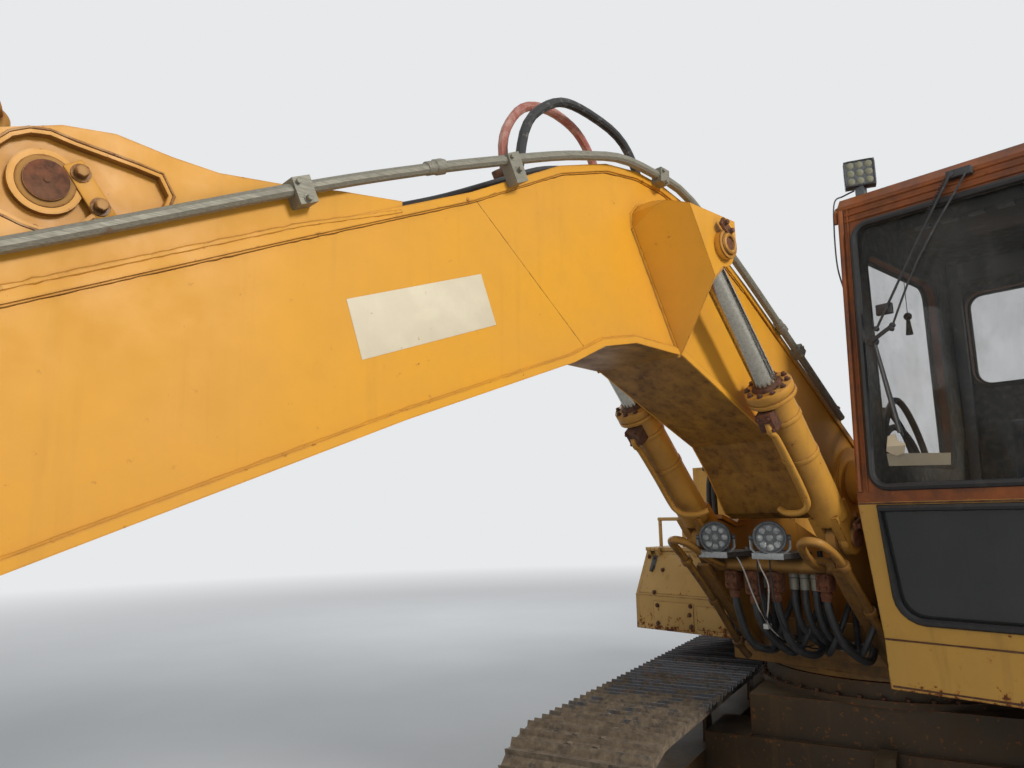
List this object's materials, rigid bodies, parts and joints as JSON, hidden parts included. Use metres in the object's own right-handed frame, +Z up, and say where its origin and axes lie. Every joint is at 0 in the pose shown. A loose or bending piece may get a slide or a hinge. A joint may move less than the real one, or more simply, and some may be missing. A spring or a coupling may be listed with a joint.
{
  "type": "crawler excavator",
  "caption": "Tracked digging machine with a slewing upper body, glazed cab on the left, one-piece boom, stick and bucket moved by hydraulic cylinders.",
  "frame": {"origin": "on the ground under the slewing axis", "axes": "+X forward, the way the boom points at rest; +Y to the machine's left, the cab side; +Z up"},
  "size_m": [11.5567, 3.6922, 3.2003],
  "materials": {
    "yellow_paint": "worn gloss, rusty at edges",
    "cylinder_paint": "worn gloss",
    "track_steel": "muddy",
    "roller_steel": "rusty",
    "engine_iron": "matte",
    "rusty_steel": "rusty",
    "window_glass": "dusty",
    "seat_fabric": "woven",
    "black_plastic": "matte",
    "lamp_black": "matte",
    "black_paint": "worn",
    "rod_chrome": "polished, oily",
    "pipe_steel": "dull zinc",
    "hose_rubber": "worn",
    "worn_steel": "worn bright at tips"
  },
  "bodies": {
    "undercarriage": {"carbody": "yellow_paint", "track_frames": "yellow_paint", "track_left": "track_steel", "track_right": "track_steel", "sprockets": "roller_steel", "idlers": "roller_steel", "track_rollers": "roller_steel", "final_drives": "yellow_paint", "tow_eyes": "yellow_paint"},
    "upper": {"upper_frame": "yellow_paint", "counterweight": "yellow_paint", "lifting_eyes": "yellow_paint", "engine_housing": "yellow_paint", "engine_block": "engine_iron", "tank_right": "yellow_paint", "side_cabinet": "yellow_paint", "tool_box": "yellow_paint", "cab_shell": "yellow_paint", "cab_glass": "window_glass", "operator_seat": "seat_fabric", "control_console": "black_plastic", "work_lamps": "lamp_black", "exhaust": "rusty_steel", "handrails": "black_paint", "foot_hoses": "hose_rubber"},
    "engine_hood": {"engine_hood": "yellow_paint"},
    "service_door_left": {"service_door_left": "yellow_paint"},
    "service_door_right": {"service_door_right": "yellow_paint"},
    "tool_box_lid": {"tool_box_lid": "yellow_paint"},
    "cab_door": {"cab_door": "yellow_paint", "door_glass": "window_glass"},
    "boom": {"boom": "yellow_paint", "boom_pipes": "pipe_steel", "boom_hoses": "hose_rubber"},
    "boom_barrels": {"boom_cylinder_barrels": "cylinder_paint"},
    "boom_rods": {"boom_cylinder_rods": "rod_chrome"},
    "stick_barrel": {"stick_cylinder_barrel": "cylinder_paint"},
    "stick_rod": {"stick_cylinder_rod": "rod_chrome"},
    "stick": {"stick": "yellow_paint"},
    "bucket_barrel": {"bucket_cylinder_barrel": "cylinder_paint"},
    "bucket_rod": {"bucket_cylinder_rod": "rod_chrome"},
    "rocker": {"rocker_levers": "yellow_paint"},
    "link": {"bucket_link": "yellow_paint"},
    "bucket": {"bucket": "yellow_paint", "bucket_teeth": "worn_steel"}
  },
  "joints": [
    {"name": "slew", "type": "hinge", "parent": "undercarriage", "child": "upper", "pos_m": [0, 0, 0.93], "axis": [0, 0, 1], "continuous": true},
    {"name": "boom_lift", "type": "hinge", "parent": "upper", "child": "boom", "pos_m": [0.7, 0, 1.83], "axis": [0, -1, 0], "range_deg": [-16, 43]},
    {"name": "boom_barrel_tilt", "type": "hinge", "parent": "upper", "child": "boom_barrels", "pos_m": [1.15, 0, 1.6], "axis": [0, -1, 0], "range_deg": [-16.01, 43.01]},
    {"name": "boom_rod_slide", "type": "slide", "parent": "boom_barrels", "child": "boom_rods", "axis": [0.6463, 0, 0.763], "range_m": [-0.1355, 0.3641]},
    {"name": "stick_curl", "type": "hinge", "parent": "boom", "child": "stick", "pos_m": [5.55, 0, 1.27], "axis": [0, 1, 0], "range_deg": [-3, 100]},
    {"name": "stick_barrel_tilt", "type": "hinge", "parent": "boom", "child": "stick_barrel", "pos_m": [4, 0, 2.355], "axis": [0, 1, 0], "range_deg": [-0.17, 5.18]},
    {"name": "stick_rod_slide", "type": "slide", "parent": "stick_barrel", "child": "stick_rod", "axis": [0.9411, 0, -0.3382], "range_m": [-0.0282, 0.9356]},
    {"name": "bucket_curl", "type": "hinge", "parent": "stick", "child": "bucket", "pos_m": [7.5898, 0, 0.44587], "axis": [0, 1, 0], "range_deg": [-8, 140]},
    {"name": "rocker_swing", "type": "hinge", "parent": "stick", "child": "rocker", "pos_m": [7.23017, 0, 0.62352], "axis": [0, 1, 0], "range_deg": [-5.05, 88.21]},
    {"name": "link_swing", "type": "hinge", "parent": "rocker", "child": "link", "pos_m": [7.19383, 0, 1.20228], "axis": [0, 1, 0], "range_deg": [-39.07, 2.24]},
    {"name": "bucket_barrel_tilt", "type": "hinge", "parent": "stick", "child": "bucket_barrel", "pos_m": [5.98174, 0, 1.53776], "axis": [0, 1, 0], "range_deg": [-0.57, 9.75]},
    {"name": "bucket_rod_slide", "type": "slide", "parent": "bucket_barrel", "child": "bucket_rod", "axis": [0.9638, 0, -0.2668], "range_m": [-0.0436, 0.7605]},
    {"name": "cab_door_swing", "type": "hinge", "parent": "upper", "child": "cab_door", "pos_m": [0.166, 1.398, 1.995], "axis": [0, 0, 1], "range_deg": [0, 160]},
    {"name": "tool_box_lid_swing", "type": "hinge", "parent": "upper", "child": "tool_box_lid", "pos_m": [0.438, -0.9, 1.49], "axis": [0, 1, 0], "range_deg": [0, 100]},
    {"name": "engine_hood_swing", "type": "hinge", "parent": "upper", "child": "engine_hood", "pos_m": [-0.842, 0.03, 1.978], "axis": [0, 1, 0], "range_deg": [0, 70]},
    {"name": "service_door_left_swing", "type": "hinge", "parent": "upper", "child": "service_door_left", "pos_m": [-2.124, 1.268, 1.495], "axis": [0, 0, 1], "range_deg": [0, 100]},
    {"name": "service_door_right_swing", "type": "hinge", "parent": "upper", "child": "service_door_right", "pos_m": [-2.124, -1.268, 1.495], "axis": [0, 0, -1], "range_deg": [0, 100]}
  ],
  "couplings": [
    {"joint": "boom_barrel_tilt", "follows": "boom_lift", "ratio": 1},
    {"joint": "boom_rod_slide", "follows": "boom_lift", "m_per_rad": 0.485},
    {"joint": "stick_barrel_tilt", "follows": "stick_curl", "ratio": 0.0517},
    {"joint": "stick_rod_slide", "follows": "stick_curl", "m_per_rad": 0.536},
    {"joint": "rocker_swing", "follows": "bucket_curl", "ratio": 0.63},
    {"joint": "link_swing", "follows": "bucket_curl", "ratio": -0.279},
    {"joint": "bucket_barrel_tilt", "follows": "bucket_curl", "ratio": 0.0696},
    {"joint": "bucket_rod_slide", "follows": "bucket_curl", "m_per_rad": 0.3112}
  ]
}
